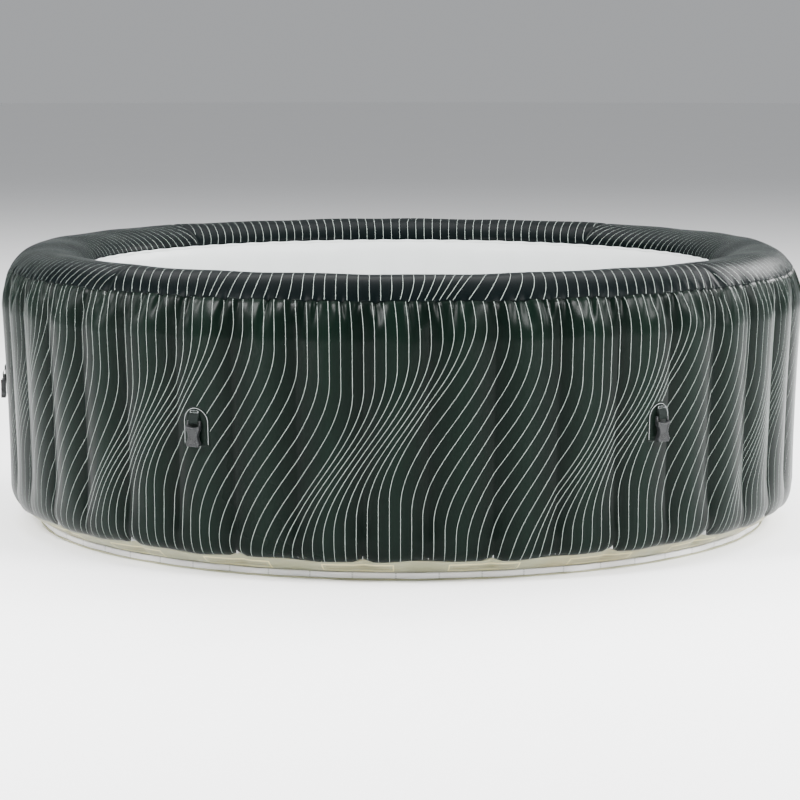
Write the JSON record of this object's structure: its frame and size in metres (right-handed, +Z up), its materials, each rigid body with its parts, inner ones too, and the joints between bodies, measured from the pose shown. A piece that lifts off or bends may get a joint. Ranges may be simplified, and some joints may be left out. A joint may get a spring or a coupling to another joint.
{
  "type": "inflatable hot tub",
  "caption": "Round inflatable hot tub with a webbed air wall, domed rim skin, white liner, hanging lid buckles and a built-in pump, heater and blower unit.",
  "frame": {"origin": "on the tub's vertical axis, on the floor under the mat", "axes": "+Z up; -Y is the front, where the rim's plain panel faces; +Y is the back, with the control unit"},
  "size_m": [2.0684, 2.0705, 0.7],
  "materials": {
    "printed_skin": "satin",
    "liner_white": "satin",
    "base_cream": "satin",
    "weld_white": "satin",
    "foam_mat": "matte",
    "web_fabric": "matte",
    "webbing": "matte",
    "buckle_plastic": "satin",
    "unit_plastic": "matte",
    "fitting_grey": "satin",
    "steel": "satin",
    "motor_metal": "satin",
    "filter_paper": "matte",
    "circuit_board": "satin"
  },
  "bodies": {
    "tub": {"air_pipe": "fitting_grey", "base_skin": "base_cream", "base_weld_strip": "weld_white", "blower_case": "unit_plastic", "bubble_ring": "liner_white", "buckle_patches": "printed_skin", "control_board": "circuit_board", "controller_socket": "unit_plastic", "cover_screws": "steel", "discharge_pipe": "fitting_grey", "drain_fitting": "fitting_grey", "floor_sheet": "liner_white", "ground_mat": "foam_mat", "heater_element": "steel", "heater_tube": "steel", "inflation_hose_port": "unit_plastic", "inflation_valve_body": "fitting_grey", "inner_liner_wall": "liner_white", "inner_rim_seam": "liner_white", "intake_grille": "unit_plastic", "outer_rim_seam": "printed_skin", "outer_wall": "printed_skin", "outlet_nozzle": "fitting_grey", "power_cord_gland": "unit_plastic", "pump_motor": "motor_metal", "pump_volute": "unit_plastic", "rear_cover": "unit_plastic", "relief_valve_body": "fitting_grey", "return_pipe": "fitting_grey", "rim_panel_1": "printed_skin", "rim_panel_2": "printed_skin", "rim_panel_3": "printed_skin", "rim_panel_4": "printed_skin", "strap_loop_1": "webbing", "strap_loop_2": "webbing", "strap_loop_3": "webbing", "strap_loop_4": "webbing", "strap_loop_5": "webbing", "strap_loop_6": "webbing", "suction_pipe": "fitting_grey", "unit_housing": "unit_plastic", "wall_webs": "web_fabric", "wet_face": "fitting_grey"},
    "buckle_1": {"buckle_1": "buckle_plastic"},
    "buckle_2": {"buckle_2": "buckle_plastic"},
    "buckle_3": {"buckle_3": "buckle_plastic"},
    "buckle_4": {"buckle_4": "buckle_plastic"},
    "buckle_5": {"buckle_5": "buckle_plastic"},
    "buckle_6": {"buckle_6": "buckle_plastic"},
    "pump_impeller": {"pump_impeller": "fitting_grey"},
    "blower_fan": {"blower_fan": "fitting_grey"},
    "filter": {"filter_cage": "fitting_grey", "filter_cartridge": "filter_paper"},
    "drain_plug": {"drain_plug": "fitting_grey"},
    "inflation_valve_cap": {"inflation_valve_cap": "fitting_grey"},
    "inflation_valve_plunger": {"inflation_valve_plunger": "fitting_grey"},
    "relief_valve_poppet": {"relief_valve_poppet": "fitting_grey"},
    "controller_socket_cap": {"controller_socket_cap": "unit_plastic"}
  },
  "joints": [
    {"name": "buckle_1_swing", "type": "hinge", "parent": "tub", "child": "buckle_1", "pos_m": [-0.47216, -0.9109, 0.362], "axis": [-0.8878, 0.4602, 0], "range_deg": [0, 100]},
    {"name": "buckle_2_swing", "type": "hinge", "parent": "tub", "child": "buckle_2", "pos_m": [0.60016, -0.83215, 0.362], "axis": [-0.8111, -0.585, 0], "range_deg": [0, 100]},
    {"name": "buckle_3_swing", "type": "hinge", "parent": "tub", "child": "buckle_3", "pos_m": [1.02408, 0.06264, 0.362], "axis": [0.061, -0.9981, 0], "range_deg": [0, 100]},
    {"name": "buckle_4_swing", "type": "hinge", "parent": "tub", "child": "buckle_4", "pos_m": [0.4578, 0.9182, 0.362], "axis": [0.8949, -0.4462, 0], "range_deg": [0, 100]},
    {"name": "buckle_5_swing", "type": "hinge", "parent": "tub", "child": "buckle_5", "pos_m": [-0.56629, 0.85556, 0.362], "axis": [0.8339, 0.5519, 0], "range_deg": [0, 100]},
    {"name": "buckle_6_swing", "type": "hinge", "parent": "tub", "child": "buckle_6", "pos_m": [-1.02408, -0.06264, 0.362], "axis": [-0.061, 0.9981, 0], "range_deg": [0, 100]},
    {"name": "pump_spin", "type": "hinge", "parent": "tub", "child": "pump_impeller", "pos_m": [-0.095, 0.87, 0.23], "axis": [0, 1, 0], "continuous": true},
    {"name": "blower_spin", "type": "hinge", "parent": "tub", "child": "blower_fan", "pos_m": [0.075, 0.93, 0.2], "axis": [0, 1, 0], "continuous": true},
    {"name": "filter_pull", "type": "slide", "parent": "tub", "child": "filter", "axis": [0, -1, 0], "range_m": [0, 0.12]},
    {"name": "drain_plug_pull", "type": "slide", "parent": "tub", "child": "drain_plug", "axis": [-0.3078, -0.9514, 0], "range_m": [0, 0.04]},
    {"name": "inflation_cap_flip", "type": "hinge", "parent": "tub", "child": "inflation_valve_cap", "pos_m": [-0.4315, 0.92838, 0.324], "axis": [0.9068, 0.4215, 0], "range_deg": [0, 150]},
    {"name": "inflation_plunger_push", "type": "slide", "parent": "tub", "child": "inflation_valve_plunger", "axis": [0.4215, -0.9068, 0], "range_m": [0, 0.004], "stiffness_N_per_m": 400, "springref_m": -0.004},
    {"name": "relief_poppet_lift", "type": "slide", "parent": "tub", "child": "relief_valve_poppet", "axis": [-0.2816, 0.9595, 0], "range_m": [0, 0.003], "stiffness_N_per_m": 1500, "springref_m": -0.004},
    {"name": "socket_cap_flip", "type": "hinge", "parent": "tub", "child": "controller_socket_cap", "pos_m": [-0.05422, 1.03458, 0.449], "axis": [0.9986, 0.0523, 0], "range_deg": [0, 150]}
  ]
}
